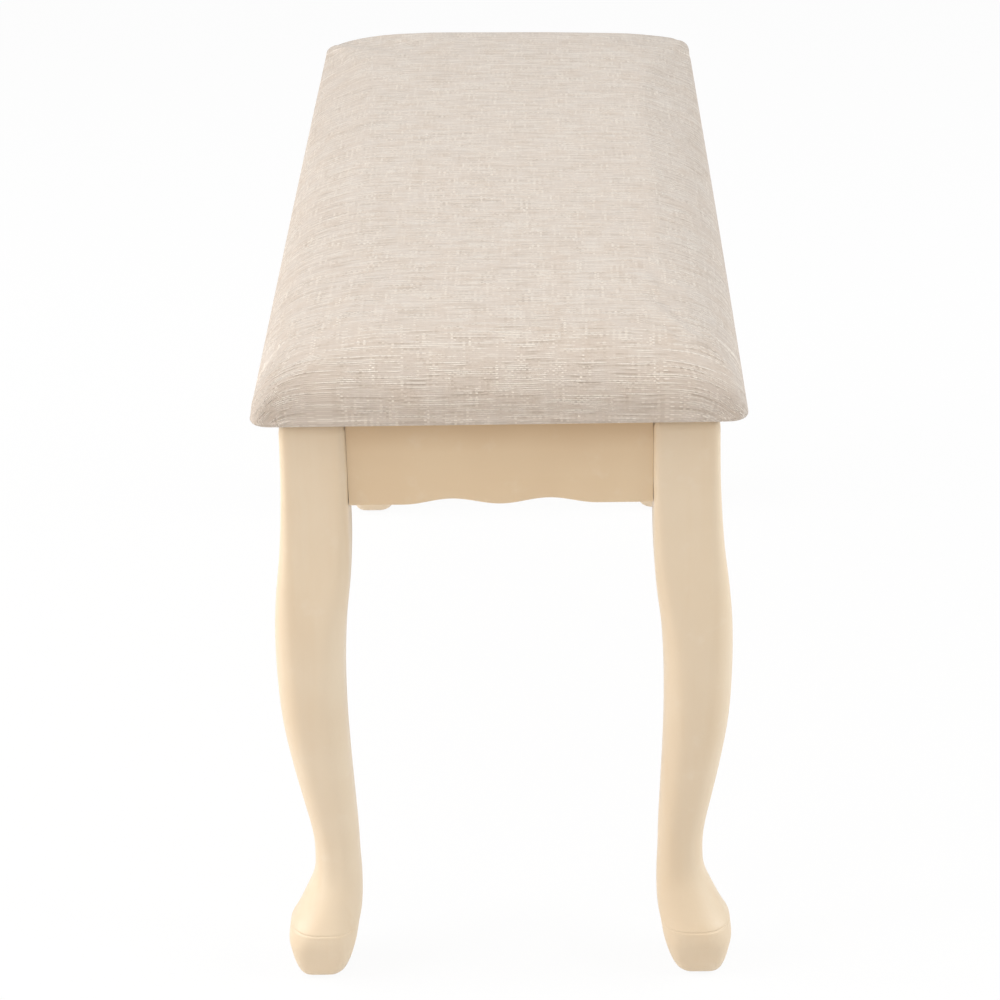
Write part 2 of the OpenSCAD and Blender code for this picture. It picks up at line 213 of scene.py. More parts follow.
def slub_linen():
    """Plain weave of uneven threads on the cloth's own map, which is in metres."""
    finish = Finish("slub_linen", Roughness=0.88, Specular_IOR_Level=0.2)
    surface = finish.surface
    surface.inputs["Sheen Weight"].default_value = 0.15
    surface.inputs["Sheen Roughness"].default_value = 0.5
    cloth = finish.add("UVMap", {"uv_map": "cloth"}).outputs["UV"]
    wander = finish.add("TexNoise", Vector=cloth, Scale=40.0, Detail=1.0).outputs["Color"]
    shift = finish.add("VectorMath", {"operation": "SUBTRACT"})
    finish.feed(shift.inputs[0], wander)
    shift.inputs[1].default_value = (0.5, 0.5, 0.5)
    small = finish.add("VectorMath", {"operation": "SCALE"}, Scale=THREAD_WANDER)
    finish.feed(small.inputs[0], shift.outputs[0])
    moved = finish.add("VectorMath", {"operation": "ADD"})
    finish.feed(moved.inputs[0], cloth)
    finish.feed(moved.inputs[1], small.outputs[0])
    apart = finish.add("SeparateXYZ", Vector=moved.outputs[0])
    weft_round, weft_light, weft_dark = thread(
        finish, apart.outputs["X"], apart.outputs["Y"], WEFT_PITCH, WEFT_SLUBS
    )
    warp_round, warp_light, warp_dark = thread(
        finish, apart.outputs["Y"], apart.outputs["X"], WARP_PITCH, WARP_SLUBS
    )
    crossing = finish.math(
        "MULTIPLY", thread_wave(finish, apart.outputs["X"], WEFT_PITCH),
        thread_wave(finish, apart.outputs["Y"], WARP_PITCH)
    )
    clusters = finish.stretch(finish.noise(cloth, 90.0, 2.0, 0.5), 0.42, 0.6, 0.3, 1.0)
    warp_over = finish.math("MULTIPLY", finish.stretch(crossing, -0.1, 0.6), clusters)
    mottle = finish.noise(cloth, 45.0, 3.0, 0.6)
    base = finish.blend(finish.stretch(mottle, 0.3, 0.7), LINEN_BASE, LINEN_WARM)
    weft = shaded_thread(finish, base, weft_light, weft_dark, 0.75, 0.4)
    warp = shaded_thread(finish, base, warp_light, warp_dark, 0.9, 0.45)
    woven = finish.blend(warp_over, weft, warp)
    height = finish.blend(warp_over, weft_round, warp_round)
    # the gaps between threads are darkened: painted shade in the weave's hollows
    finish.colour(finish.blend(finish.stretch(height, 0.0, 0.7, 0.16, 0.0), woven, LINEN_GAP))
    slubs = finish.math("SUBTRACT", weft_light, weft_dark)
    slubs = finish.math("MULTIPLY", slubs, weft_round)
    lengthways = finish.math("MULTIPLY", warp_light, finish.math("MULTIPLY", warp_over, 0.7))
    slubs = finish.math("ADD", slubs, lengthways)
    finish.relief(finish.math("ADD", finish.math("MULTIPLY", height, 0.4), slubs), 0.00035)
    return finish.material


def thread_wave(finish, position, pitch):
    """Swings once up and once down over two threads."""
    return finish.math("SINE", finish.math("MULTIPLY", position, math.pi / pitch))


def thread(finish, across, along, pitch, slubs):
    """Roundness of the threads at a place, and how light or dark each one is there."""
    number = finish.math("FLOOR", finish.math("DIVIDE", across, pitch))
    place = finish.add(
        "CombineXYZ", X=finish.math("MULTIPLY", number, THREAD_APART),
        Y=finish.math("MULTIPLY", along, slubs)
    ).outputs[0]
    value = finish.noise(place, 1.0, 3.0, 0.6)
    roundness = finish.math("ABSOLUTE", thread_wave(finish, across, pitch))
    return roundness, finish.stretch(value, 0.51, 0.61), finish.stretch(value, 0.47, 0.36)


def shaded_thread(finish, base, light, dark, most_light, most_dark):
    deep = finish.blend(finish.math("MULTIPLY", dark, most_dark), base, LINEN_GAP)
    return finish.blend(finish.math("MULTIPLY", light, most_light), deep, LINEN_SLUB)


def raw_wood(name, grain, light, dark):
    """Unfinished wood with its grain along the axis of the smallest number in grain."""
    finish = Finish(name, Specular_IOR_Level=0.3)
    place = finish.place()
    rings = finish.noise(finish.mapped(place, grain), 1.0, 4.0, 0.65)
    pores = finish.noise(finish.mapped(place, [3.5 * value for value in grain]), 1.0, 2.0, 0.5)
    base = finish.blend(finish.stretch(rings, 0.3, 0.7), light, dark)
    finish.colour(finish.blend(finish.stretch(pores, 0.6, 0.8, 0, 0.5), base, srgb(128, 88, 52)))
    finish.roughness(finish.stretch(rings, 0.3, 0.7, 0.62, 0.8))
    finish.relief(finish.math("ADD", rings, pores), 0.0003)
    return finish.material


def plated_steel(name, colour, roughness):
    finish = Finish(name, Metallic=1.0)
    place = finish.place()
    spangle = finish.noise(place, 260.0, 3.0, 0.6)
    finish.colour(finish.blend(finish.stretch(spangle, 0.35, 0.7), colour, srgb(150, 152, 156)))
    finish.roughness(finish.stretch(spangle, 0.3, 0.7, roughness, roughness + 0.2))
    finish.relief(spangle, 0.00005)
    return finish.material


def black_nonwoven():
    """Thin black dust cloth of pressed fibres."""
    finish = Finish("black_nonwoven", Roughness=0.93, Specular_IOR_Level=0.2)
    place = finish.place()
    fibres = finish.noise(place, 900.0, 4.0, 0.7)
    dots = finish.add("TexVoronoi", Vector=place, Scale=520.0).outputs["Distance"]
    finish.colour(
        finish.blend(finish.stretch(fibres, 0.35, 0.7), srgb(26, 26, 28), srgb(58, 58, 60))
    )
    finish.relief(finish.math("ADD", fibres, dots), 0.0002)
    return finish.material


def moulded_plastic():
    finish = Finish("moulded_plastic", Specular_IOR_Level=0.4)
    place = finish.place()
    scuffs = finish.noise(place, 300.0, 3.0, 0.6)
    finish.colour(
        finish.blend(finish.stretch(scuffs, 0.4, 0.75), srgb(214, 208, 196), srgb(186, 178, 164))
    )
    finish.roughness(finish.stretch(scuffs, 0.3, 0.7, 0.4, 0.6))
    finish.relief(scuffs, 0.00005)
    return finish.material


def dress_node(names, material):
    """Gives CAD nodes a finish."""
    for name in names:
        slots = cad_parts[name].data.materials
        slots.clear()
        slots.append(material)


# ---------------------------------------------------------------- piece making

def finish_piece(name, bm, material, smooth_levels=0):
    """Object at the origin, with its place in its mesh, that rides on the stool's one body."""
    mesh = bpy.data.meshes.new(name)
    bm.to_mesh(mesh)
    bm.free()
    mesh.materials.append(material)
    mesh.shade_smooth()
    piece = bpy.data.objects.new(name, mesh)
    bpy.context.scene.collection.objects.link(piece)
    if smooth_levels:
        subdivide(piece, smooth_levels)
    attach(piece, "root")
    return piece


def subdivide(piece, levels):
    modifier = piece.modifiers.new("smooth", "SUBSURF")
    modifier.levels = levels
    modifier.render_levels = levels


def made_verts(result):
    return [part for part in result["geom"] if isinstance(part, bmesh.types.BMVert)]


def made_edges(result):
    return [part for part in result["geom"] if isinstance(part, bmesh.types.BMEdge)]


def smooth_path(stations, places, parts):
    """Points of a curve through the stations, parts of them to each stretch."""
    last = len(stations) - 1
    slopes = []
    for i in range(last + 1):
        before, after = max(i - 1, 0), min(i + 1, last)
        slopes.append((stations[after] - stations[before]) / (places[after] - places[before]))
    path = []
    for i in range(last):
        run = places[i + 1] - places[i]
        for part in range(parts):
            t = part / parts
            path.append(
                (2 * t ** 3 - 3 * t ** 2 + 1) * stations[i]
                + (3 * t ** 2 - 2 * t ** 3) * stations[i + 1]
                + (t ** 3 - 2 * t ** 2 + t) * run * slopes[i]
                + (t ** 3 - t ** 2) * run * slopes[i + 1]
            )
    return path + [stations[last]]


# ---------------------------------------------------------------- legs

# Height, outer side and inner side measured inwards from the post's outer face, in
# millimetres, and how round the section is, from 0 for a sharp square to 1 for a circle.
FOOT_STATIONS = [
    (2, -6.6, 19.8, 0.58), (5, -8.2, 22.7, 0.54), (12, -10.2, 25.8, 0.47), (20, -12, 28.6, 0.5),
    (28, -13.6, 31, 0.64), (36.2, -12.6, 32.6, 0.78), (37, -11.9, 32.8, 0.8), (38, -11.8, 33, 0.8)
]
SHANK_STATIONS = [
    (38, -11.8, 33, 0.8), (44, -8.3, 34.4, 0.93), (54, -2.9, 35.2, 0.96), (68, 3.6, 35.2, 0.9),
    (84, 5.3, 34.6, 0.84), (102, 4.6, 34.4, 0.82), (128, 0.5, 33.6, 0.8), (158, -4.4, 32.6, 0.78),
    (194, -8.9, 31.8, 0.74), (230, -10.4, 32.2, 0.7), (262, -9.9, 34.2, 0.6), (288, -7.6, 37.4, 0.45),
    (313, -4.4, 39, 0.36), (339, -2.2, 39.4, 0.3), (366, -0.8, 40, 0.27), (LEG_H / MM, 0, 40, 0.25)
]
LEG_SECTION_POINTS = 40
LEG_PARTS = 4
POST_CHAMFER = 68 * MM
POST_CHAMFER_LOW = LEG_H - 46 * MM


def leg_path():
    """Rings of the leg from the floor up, each as height, outer, inner and roundness."""
    path = []
    for stations in (FOOT_STATIONS, SHANK_STATIONS):
        rows = [Vector(row) for row in stations]
        path = path[:-1] + smooth_path(rows, [row[0] for row in rows], LEG_PARTS)
    return path


def rounded_square(turn, half, roundness):
    """Point of a rounded square's outline, with the points drawn in towards its corners."""
    quarter = math.floor(turn / QUARTER + 1e-6)
    across = (turn / QUARTER - quarter) * 2 - 1
    radius = half * min(roundness, 0.999)
    straight = half - radius
    half_arc = radius * QUARTER / 2
    share = max(half_arc / (half_arc + straight), 0.5)
    reach = abs(across)
    if reach < share:
        angle = math.pi / 4 + math.copysign(reach / share * half_arc / radius, across)
        x, y = straight + radius * math.cos(angle), straight + radius * math.sin(angle)
    else:
        x, y = half, straight * (1 - (reach - share) / (1 - share))
        if across > 0:
            x, y = y, x
    return Matrix.Rotation(quarter * QUARTER, 2) @ Vector((x, y))


def make_leg(corner, material):
    """A tube of unit radius, shaped ring by ring into the leg."""
    x_side, y_side = CORNERS[corner]
    path = leg_path()
    bm = bmesh.new()
    bmesh.ops.create_circle(bm, segments=LEG_SECTION_POINTS, radius=1, cap_ends=True)
    edges = bm.edges[:]
    rings = [bm.verts[:]]
    for _ in path[1:]:
        result = bmesh.ops.extrude_edge_only(bm, edges=edges)
        edges = made_edges(result)
        rings.append(made_verts(result))
    bmesh.ops.contextual_create(bm, geom=edges)
    for ring, (z, outer, inner, roundness) in zip(rings, path):
        centre = Vector((outer + inner, outer + inner)) / 2
        for vert in ring:
            turn = math.atan2(vert.co.y, vert.co.x) % (4 * QUARTER)
            flat = centre + rounded_square(turn, (inner - outer) / 2, roundness)
            vert.co = (*(flat * MM), z * MM)
    chamfer_post(bm)
    for vert in bm.verts:
        vert.co.x = x_side * (HALF_L - vert.co.x)
        vert.co.y = y_side * (HALF_W - vert.co.y)
    bmesh.ops.recalc_face_normals(bm, faces=bm.faces)
    leg = finish_piece("leg_" + corner + "_carved", bm, material, 1)
    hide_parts("leg_" + corner)
    return leg


def chamfer_post(bm):
    """Flattens the inner corner of the post where the corner block draws up to it."""
    for vert in bm.verts:
        over = vert.co.x + vert.co.y - POST_CHAMFER
        if vert.co.z > POST_CHAMFER_LOW and over > 0:
            vert.co.x -= over / 2
            vert.co.y -= over / 2


# ---------------------------------------------------------------- aprons

RAIL_T = 18 * MM
RAIL_ARRIS = 2.2 * MM
END_ARCH = (3.8 * MM, 59 * MM)
SIDE_ARCH = (9 * MM, 170 * MM)
RAIL_STEP = 3 * MM


def make_rail(name, along_x, side, arch, material):
    """Apron with a scalloped lower edge and soft arrises."""
    arch_h, arch_w = arch
    low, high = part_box(name)
    length = high.x - low.x if along_x else high.y - low.y
    segments = round(length / RAIL_STEP)
    bm = bmesh.new()
    bmesh.ops.create_grid(bm, x_segments=segments, y_segments=2, size=1)
    for vert in bm.verts:
        along = vert.co.x * length / 2
        rise = 0.0
        if abs(along) < arch_w:
            rise = arch_h * (1 - math.cos(2 * math.pi * along / arch_w)) / 2
        bottom = RAIL_LOW + rise
        vert.co = (along, 0, bottom + (LEG_H - bottom) * (vert.co.y + 1) / 2)
    face = bmesh.ops.extrude_face_region(bm, geom=bm.faces[:])
    bmesh.ops.translate(bm, verts=made_verts(face), vec=(0, RAIL_T, 0))
    bmesh.ops.recalc_face_normals(bm, faces=bm.faces)
    arrises = [edge for edge in bm.edges if is_lower_arris(edge)]
    bmesh.ops.bevel(
        bm, geom=arrises, offset=RAIL_ARRIS, segments=4, profile=0.5,
        affect="EDGES", material=-1
    )
    outer = high if side > 0 else low
    if along_x:
        place = Matrix.Translation((0, outer.y, 0)) @ Matrix.Scale(-side, 4, (0, 1, 0))
    else:
        place = (
            Matrix.Translation((outer.x, 0, 0)) @ Matrix.Scale(-side, 4, (1, 0, 0))
            @ Matrix.Rotation(-QUARTER, 4, "Z")
        )
    bmesh.ops.transform(bm, matrix=place, verts=bm.verts)
    bmesh.ops.recalc_face_normals(bm, faces=bm.faces)
    rail = finish_piece(name + "_scalloped", bm, material)
    rail.data.set_sharp_from_angle(angle=math.radians(35))
    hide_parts(name)
    return rail


def is_lower_arris(edge):
    """An edge along the scallop, between the lower face and the front or back one."""
    if len(edge.link_faces) != 2:
        return False
    downward = [face.normal.z < -0.6 for face in edge.link_faces]
    upright = [abs(face.normal.y) > 0.9 for face in edge.link_faces]
    return any(downward) and any(upright)


# ---------------------------------------------------------------- seat

# The cushion's edge from the crown down: distance inside the widest bulge and height
# above the seat's underside, in millimetres.
EDGE_PROFILE = [
    (56, 45), (44, 44.5), (34, 42.7), (27, 40.3), (20, 37), (12.5, 31.7), (6.5, 25.4), (2.4, 18.4),
    (0.5, 12.5), (0, 7), (0.4, 3.2), (1.5, 0.8), (4.5, 0)
]
SHOULDER = 4                    # the row where the top ends and the rings of the side begin
EDGE_PARTS = 12
CROWN_INSET, CROWN_LOW = EDGE_PROFILE[1]
CROWN_HIGH = 46
CORNER_R = 7.5
CORNER_GROWTH = 1.2             # growth of the corner radius with the inset
FAR_GROWTH = 0.15               # the same below the shoulder at the left, rounder end
SHOULDER_INSET = EDGE_PROFILE[SHOULDER][0]
SHOULDER_R = CORNER_R + CORNER_GROWTH * SHOULDER_INSET
FAN_INSET = SHOULDER_INSET + SHOULDER_R     # the cloth fans out round each corner from here
CORNER_CELLS = 12
CORNER_GATHER = {FRONT: 1.2, BACK: 0.3}     # how much of the cloth is drawn to the corner
GATHER_RUN = 15                 # way below the shoulder over which the gather sets in
CELL = 6                        # size of a cell of the cloth
RING_STEP = 3                   # points of the edge's curve from one ring to the next
# How far the pad has sunk at its left end, in the middle, and further towards the back
# and in the corners. Nothing sinks below the height that covers the board.
END_SAG, BACK_SAG, CORNER_SAG, MOST_SAG = 20, 3, 9, 30
SAG_ABOVE = 14
# Under the board and round inside it: inset, height and corner radius of each ring.
HEM_RINGS = [
    (9, 0, 20), (14, 0, 20), (21, 0, 20), (29, 0, 18), (38, 0, 12), (47, 0, 4),
    (49, 0.15, 2), (49.4, 0.5, 1.6), (49, 0.85, 2),
    (38, 0.95, 12.2), (20, 0.95, 12.2), (8, 0.95, 12.2), (6.7, 1.4, 12.3), (6.6, 7, 12.4),
    (6.7, 12.6, 12.3), (8, 13.1, 12.2), (12, 13.1, 12)
]
SEAT_HALF = Vector((SEAT_HALF_L, SEAT_HALF_W)) / MM
FAN_CORNER = SEAT_HALF - Vector((FAN_INSET, FAN_INSET))
CLOTH_CAP = 2 * MM              # the most that the simulation may move a point
CLOTH_FRAMES = 20
CLOTH_PRESSURE = 4
CLOTH_STIFFNESS = 30
HELD_BELOW = 4 * MM
LINER_TOP = 13.3 * MM           # the folded cloth inside lies below this and further in
LINER_INSET = 6.4 * MM
MAP_WANDER = 3 * MM             # how far the whole weave drifts, and the scale of its drift
MAP_WANDER_SCALE = 9.0
MAP_WANDER_SEED = 7             # keeps the drift the same in every run


def edge_curve():
    rows = [Vector(row) for row in EDGE_PROFILE]
    places = [0.0]
    for before, after in zip(rows, rows[1:]):
        places.append(places[-1] + (after - before).length)
    return smooth_path(rows, places, EDGE_PARTS)


EDGE_CURVE = edge_curve()


def top_height(inset):
    """Height of the cushion's top over a point that far inside the bulge."""
    if inset >= CROWN_INSET:
        t = min((inset - CROWN_INSET) / (SEAT_HALF.y - CROWN_INSET), 1)
        return CROWN_LOW + (CROWN_HIGH - CROWN_LOW) * (1 - (1 - t) ** 2)
    for above, below in zip(EDGE_CURVE, EDGE_CURVE[1:]):
        if above.x >= inset >= below.x:
            return above.y + (below.y - above.y) * (above.x - inset) / (above.x - below.x)
    return 0.0


def inset_of(flat):
    """How far a point of the plan lies inside the bulge; the corners grow rounder inwards."""
    from_end, from_side = SEAT_HALF.x - abs(flat.x), SEAT_HALF.y - abs(flat.y)
    inset = min(from_end, from_side)
    if inset + CORNER_R + CORNER_GROWTH * inset <= max(from_end, from_side):
        return inset
    for _ in range(12):
        radius = CORNER_R + CORNER_GROWTH * inset
        beyond = math.hypot(inset + radius - from_end, inset + radius - from_side)
        inset -= 0.5 * (beyond - radius)
    return inset


def cloth_lines(core):
    """Places of the grid's lines along one axis, closer together in the corners."""
    cells = round(2 * core / CELL)
    corner = [core + SHOULDER_R * (k + 1) / CORNER_CELLS for k in range(CORNER_CELLS)]
    middle = [-core + 2 * core * k / cells for k in range(cells + 1)]
    return [-place for place in reversed(corner)] + middle + corner


def fan_of(x, y):
    """Nearest point of the core, and the direction and share of the way out to the shoulder."""
    ex = max(abs(x) - FAN_CORNER.x, 0) / SHOULDER_R
    ey = max(abs(y) - FAN_CORNER.y, 0) / SHOULDER_R
    away = Vector((
        math.copysign(ex * math.sqrt(1 - ey ** 2 / 2), x),
        math.copysign(ey * math.sqrt(1 - ex ** 2 / 2), y), 0
    ))
    core = Vector((
        math.copysign(min(abs(x), FAN_CORNER.x), x), math.copysign(min(abs(y), FAN_CORNER.y), y), 0
    ))
    return core, away


def corner_share(away):
    """Share of the way round a corner, from the end of the seat, at 0, to its side, at 1."""
    return math.atan2(abs(away.y), abs(away.x)) / QUARTER


def ring_point(core, away, inset, radius):
    """Point of the outline at that inset; the fan's columns are spread evenly round a corner."""
    half = SEAT_HALF - Vector((inset, inset))
    share = corner_share(away)
    radius = min(radius, FAN_INSET - inset)
    run = FAN_INSET - inset - radius
    walked = share * (2 * run + radius * QUARTER) - run
    if share < 1e-5:
        place = Vector((half.x, abs(core.y)))
    elif share > 1 - 1e-5:
        place = Vector((abs(core.x), half.y))
    elif walked < 0:
        place = Vector((half.x, half.y - radius + walked))
    elif walked < radius * QUARTER:
        angle = walked / radius
        place = half + radius * Vector((math.cos(angle) - 1, math.sin(angle) - 1))
    else:
        place = Vector((half.x - radius - (walked - radius * QUARTER), half.y))
    return Vector((
        math.copysign(place.x, away.x if share < 1 - 1e-5 else core.x),
        math.copysign(place.y, away.y if share > 1e-5 else core.y)
    ))


def sheet_point(core, away, reach):
    """Place in the flat cloth of a point that far out from the core, as the hand pulls it."""
    share = corner_share(away)
    grown = min((reach - SHOULDER_R) / GATHER_RUN, 1)
    gather = 1 + CORNER_GATHER[FRONT if core.y < 0 else BACK] * grown
    angle = QUARTER * share ** gather / (share ** gather + (1 - share) ** gather)
    return Vector((
        core.x + math.copysign(reach * math.cos(angle), core.x) * (share < 1),
        core.y + math.copysign(reach * math.sin(angle), core.y) * (share > 0), 0
    ))


def side_swell(flat):
    """How much wider the seat is there than at its ends."""
    return 1 + SIDE_SWELL / MM / SEAT_HALF.y * max(1 - (flat.x / SEAT_HALF.x) ** 2, 0)


def settled(flat, height):
    """Height where the pad has sunk towards its left end, and most at the back there."""
    far = ((1 - flat.x / SEAT_HALF.x) / 2) ** 2
    back = flat.y / SEAT_HALF.y
    corner = CORNER_SAG * back ** (3 if back > 0 else 6)
    sunk = min(far * (END_SAG + BACK_SAG * back + corner), MOST_SAG)
    return height - sunk * max((height - SAG_ABOVE) / (CROWN_HIGH - SAG_ABOVE), 0)


def seat_mesh():
    """A grid of cloth over the top, then ring after ring down its sides and under the board."""
    lines_x = cloth_lines(FAN_CORNER.x)
    lines_y = cloth_lines(FAN_CORNER.y)
    bm = bmesh.new()
    layers = bm.verts.layers.float_vector
    core_of, away_of, sheet_of = (layers.new(name) for name in ("core", "away", "sheet"))
    last_x, last_y = len(lines_x) - 1, len(lines_y) - 1
    bmesh.ops.create_grid(bm, x_segments=last_x, y_segments=last_y, size=1)
    for vert in bm.verts:
        x = lines_x[round((vert.co.x + 1) / 2 * last_x)]
        y = lines_y[round((vert.co.y + 1) / 2 * last_y)]
        core, away = fan_of(x, y)
        flat = core + SHOULDER_R * away
        vert[core_of], vert[away_of], vert[sheet_of] = core, away, flat
        vert.co = (flat.x, flat.y * side_swell(flat), settled(flat, top_height(inset_of(flat))))
    edges = [edge for edge in bm.edges if edge.is_boundary]
    roof = made_verts(bmesh.ops.duplicate(bm, geom=bm.verts[:] + bm.edges[:] + bm.faces[:]))
    side = EDGE_CURVE[SHOULDER * EDGE_PARTS::RING_STEP]
    rings = [(p.x, p.y, CORNER_R + CORNER_GROWTH * p.x) for p in side[1:]] + HEM_RINGS
    reach = SHOULDER_R
    before = side[0]
    for number, (inset, height, radius) in enumerate(rings):
        here = Vector((inset, height))
        reach += (here - before).length
        before = here
        result = bmesh.ops.extrude_edge_only(bm, edges=edges)
        edges = made_edges(result)
        for vert in made_verts(result):
            core, away = vert[core_of], vert[away_of]
            outside = number < len(side)
            rounder = SHOULDER_R - FAR_GROWTH * (SHOULDER_INSET - inset)
            flat = ring_point(core, away, inset, rounder if outside and core.x < 0 else radius)
            swell = side_swell(flat) if outside else 1
            vert.co = (flat.x, flat.y * swell, settled(flat, height) if outside else height)
            vert[sheet_of] = sheet_point(core, away, reach)
    close_over_board(bm, roof, core_of, away_of)
    write_cloth_map(bm, sheet_of)
    for name in ("core", "away", "sheet"):
        layers.remove(layers[name])
    for vert in bm.verts:
        vert.co = (vert.co.x * MM, vert.co.y * MM, vert.co.z * MM + SEAT_LOW)
    bmesh.ops.recalc_face_normals(bm, faces=bm.faces)
    return bm


def close_over_board(bm, roof, core_of, away_of):
    """Lays the second grid flat over the board and welds it to the last ring."""
    inset, height, radius = HEM_RINGS[-1]
    for vert in roof:
        if vert.is_boundary:
            flat = ring_point(vert[core_of], vert[away_of], inset, radius)
        else:
            flat = vert.co * (1 - inset / SEAT_HALF.y)
        vert.co = (flat.x, flat.y, height)
    bmesh.ops.remove_doubles(bm, verts=[v for v in bm.verts if v.is_boundary], dist=0.01)


def write_cloth_map(bm, sheet_of):
    """The cloth's own map, in metres, with the slight wander of a hand-stretched weave."""
    cloth = bm.loops.layers.uv.new("cloth")
    noise.seed_set(MAP_WANDER_SEED)
    for face in bm.faces:
        for loop in face.loops:
            flat = loop.vert[sheet_of] * MM
            drift = noise.noise_vector(flat * MAP_WANDER_SCALE) * MAP_WANDER
            loop[cloth].uv = (flat.x + drift.x, flat.y + drift.y)


def make_seat(material):
    bm = seat_mesh()
    seat = finish_piece("seat_pad_and_cover", bm, material)
    held = seat.vertex_groups.new(name="held")
    low = [v.index for v in seat.data.vertices if v.co.z < SEAT_LOW + HELD_BELOW]
    inner = [
        v.index for v in seat.data.vertices
        if v.co.z < SEAT_LOW + LINER_TOP and abs(v.co.x) < SEAT_HALF_L - LINER_INSET
        and abs(v.co.y) < SEAT_HALF_W - LINER_INSET
    ]
    held.add(sorted(set(low + inner)), 1.0, "REPLACE")
    settle_cloth(seat)
    subdivide(seat, 1)
    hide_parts("seat_cover", "foam_pad")
    return seat


def settle_cloth(piece):
    """Blows the cover up a little against its own tension, and keeps the result."""
    scene = bpy.context.scene
    cloth = piece.modifiers.new("cloth", "CLOTH")
    cloth.settings.vertex_group_mass = "held"
    cloth.settings.use_pressure = True
    cloth.settings.uniform_pressure_force = CLOTH_PRESSURE
    cloth.settings.tension_stiffness = CLOTH_STIFFNESS
    cloth.settings.compression_stiffness = CLOTH_STIFFNESS
    cloth.settings.effector_weights.gravity = 0
    for number in range(1, CLOTH_FRAMES + 1):
        scene.frame_set(number)
    blown = piece.evaluated_get(bpy.context.evaluated_depsgraph_get())
    places = [v.co.copy() for v in blown.data.vertices]
    piece.modifiers.remove(cloth)
    scene.frame_set(1)
    for vert, place in zip(piece.data.vertices, places):
        move = place - vert.co
        if move.length > 1e-9:
            move *= CLOTH_CAP * math.tanh(move.length / CLOTH_CAP) / move.length
        vert.co += move


# ---------------------------------------------------------------- dust cover

DUST_SAG = 1.6 * MM
DUST_BELOW_BOARD = 0.5 * MM
DUST_T = 0.4 * MM


def make_dust_cover(material):
    """Thin cloth stretched under the board, slack by a hair between its staples."""
    low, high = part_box("dust_cover")
    bm = bmesh.new()
    bmesh.ops.create_grid(bm, x_segments=60, y_segments=20, size=1)
    for vert in bm.verts:
        x, y = vert.co.x * high.x, vert.co.y * high.y
        sag = DUST_SAG * (1 - vert.co.x ** 4) * (1 - vert.co.y ** 2)
        vert.co = (x, y, high.z - DUST_BELOW_BOARD - sag)
    bmesh.ops.recalc_face_normals(bm, faces=bm.faces)
    cover = finish_piece("dust_cloth", bm, material)
    wall = cover.modifiers.new("thickness", "SOLIDIFY")
    wall.thickness = DUST_T
    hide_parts("dust_cover")
    return cover


# ---------------------------------------------------------------- stage and light

FLOOR_SIZE = 9
FLOOR_WHITE = 0.93              # share of the floor's own white, over its shaded face
FLOOR_LIT = (0.9, 0.9, 0.9, 1)
WORLD_LIGHT = 0.375


def add_stage():
    """Plain white floor that keeps the stool's shadow."""
    bm = bmesh.new()
    bmesh.ops.create_grid(bm, x_segments=1, y_segments=1, size=FLOOR_SIZE)
    mesh = bpy.data.meshes.new("floor")
    bm.to_mesh(mesh)
    bm.free()
    floor = bpy.data.objects.new("floor", mesh)
    bpy.context.scene.collection.objects.link(floor)
    material = bpy.data.materials.new("white_floor")
    material.use_nodes = True
    nodes, links = material.node_tree.nodes, material.node_tree.links
    nodes.clear()
    lit = nodes.new("ShaderNodeBsdfDiffuse")
    lit.inputs["Color"].default_value = FLOOR_LIT
    white = nodes.new("ShaderNodeEmission")
    seen = sees_background(nodes, links)
    share = nodes.new("ShaderNodeMath")
    share.operation = "MULTIPLY"
    share.inputs[1].default_value = FLOOR_WHITE
    links.new(seen, share.inputs[0])
    mix = nodes.new("ShaderNodeMixShader")
    links.new(share.outputs[0], mix.inputs[0])
    links.new(lit.outputs[0], mix.inputs[1])
    links.new(white.outputs[0], mix.inputs[2])
    output = nodes.new("ShaderNodeOutputMaterial")
    links.new(mix.outputs[0], output.inputs["Surface"])
    mesh.materials.append(material)


def sees_background(nodes, links):
    """1 for camera, glossy and transmission rays."""
    path = nodes.new("ShaderNodeLightPath")
    total = path.outputs["Is Camera Ray"]
    for kind in ("Is Glossy Ray", "Is Transmission Ray"):
        larger = nodes.new("ShaderNodeMath")
        larger.operation = "MAXIMUM"
        links.new(total, larger.inputs[0])
        links.new(path.outputs[kind], larger.inputs[1])
        total = larger.outputs[0]
    return total


def add_world():
    world = bpy.data.worlds.new("soft_white")
    bpy.context.scene.world = world
    world.use_nodes = True
    nodes, links = world.node_tree.nodes, world.node_tree.links
    background = nodes["Background"]
    background.inputs["Color"].default_value = (1, 1, 1, 1)
    seen = sees_background(nodes, links)
    strength = nodes.new("ShaderNodeMapRange")
    strength.inputs["To Min"].default_value = WORLD_LIGHT
    strength.inputs["To Max"].default_value = 1.0
    links.new(seen, strength.inputs["Value"])
    links.new(strength.outputs["Result"], background.inputs["Strength"])


def add_softbox(name, place, aim, size, power, colour=(1, 1, 1)):
    light = bpy.data.lights.new(name, "AREA")
    light.shape = "RECTANGLE"
    light.size, light.size_y = size
    light.energy = power
    light.color = colour
    box = bpy.data.objects.new(name, light)
    bpy.context.scene.collection.objects.link(box)
    box.location = place
    direction = Vector(aim) - Vector(place)
    box.rotation_euler = direction.to_track_quat("-Z", "Y").to_euler()


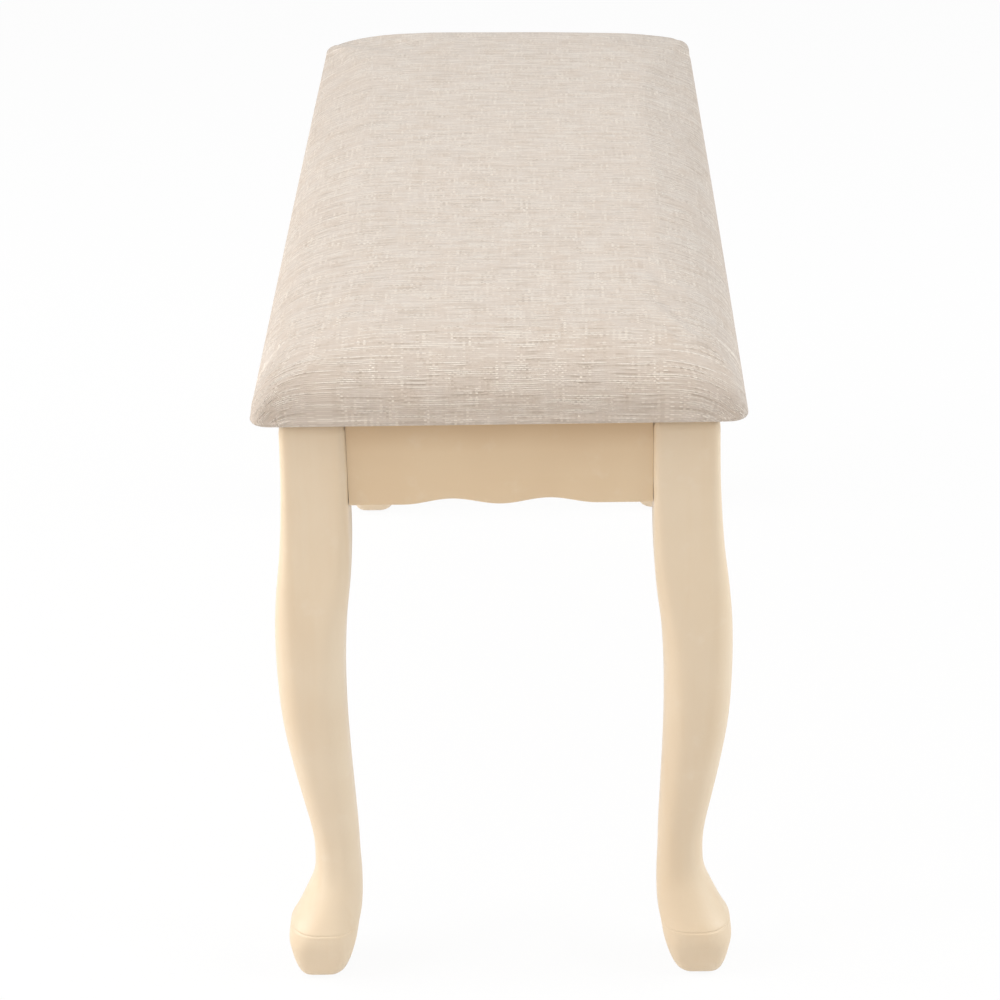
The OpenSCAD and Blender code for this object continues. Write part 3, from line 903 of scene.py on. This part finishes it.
def add_lights():
    add_world()
    add_softbox("overhead", (0.3, -0.2, 2.4), (0, 0, 0.4), (2.2, 2.2), 13, (0.95, 1.0, 1.05))
    add_softbox("high_left", (0.4, -2.2, 1.7), (0, 0, 0.3), (1.6, 1.6), 48)
    add_softbox("high_right", (0.4, 2.2, 1.7), (0, 0, 0.3), (1.6, 1.6), 39)
    add_softbox("front_left", (2.2, -1.7, 1.5), (0.2, 0, 0.3), (1.4, 1.4), 10.5, (1.0, 0.62, 0.3))
    add_softbox("low_left", (1.2, -2.0, 0.5), (0.3, 0, 0.35), (1.0, 0.6), 2.4)
    add_softbox("low_right", (1.2, 2.0, 0.5), (0.3, 0, 0.35), (1.0, 0.6), 1.2)


# ---------------------------------------------------------------- assembly

bpy.context.scene.view_settings.view_transform = "Standard"
add_camera()

leg_cream, leg_shade = srgb(229, 212, 186), srgb(225, 206, 178)
# The aprons are a darker, warmer cream than the legs; part of that is painted shade from the seat
# above them.
rail_cream, rail_shade = srgb(225, 202, 168), srgb(221, 196, 161)
leg_finish = lacquer("cream_lacquer_upright", (60, 60, 3), leg_cream, leg_shade)
# the aprons carry painted shade towards the seat, set by the last number
end_finish = lacquer("cream_lacquer_across", (60, 3, 60), rail_cream, rail_shade, 0.95)
side_finish = lacquer("cream_lacquer_along", (3, 60, 60), rail_cream, rail_shade, 0.95)
linen = slub_linen()
beech = raw_wood("beech", (12, 12, 120), srgb(222, 188, 142), srgb(202, 162, 114))
plywood = raw_wood("plywood", (8, 40, 900), srgb(214, 180, 132), srgb(176, 134, 88))
zinc = plated_steel("zinc_plate", srgb(196, 198, 202), 0.28)
wire = plated_steel("staple_steel", srgb(206, 208, 212), 0.2)

for corner in CORNERS:
    make_leg(corner, leg_finish)
make_rail("end_rail_left", False, LEFT, END_ARCH, end_finish)
make_rail("end_rail_right", False, RIGHT, END_ARCH, end_finish)
make_rail("side_rail_front", True, FRONT, SIDE_ARCH, side_finish)
make_rail("side_rail_back", True, BACK, SIDE_ARCH, side_finish)
make_seat(linen)
make_dust_cover(black_nonwoven())

dress_node(["corner_block_" + corner for corner in CORNERS] + ["rail_dowels"], beech)
dress_node(["seat_board"], plywood)
dress_node(["block_screws", "hanger_bolts", "bolt_washers", "wing_nuts", "seat_screws"], zinc)
dress_node(["cover_staples"], wire)
dress_node(["glide_" + corner for corner in CORNERS], moulded_plastic())

add_stage()
add_lights()
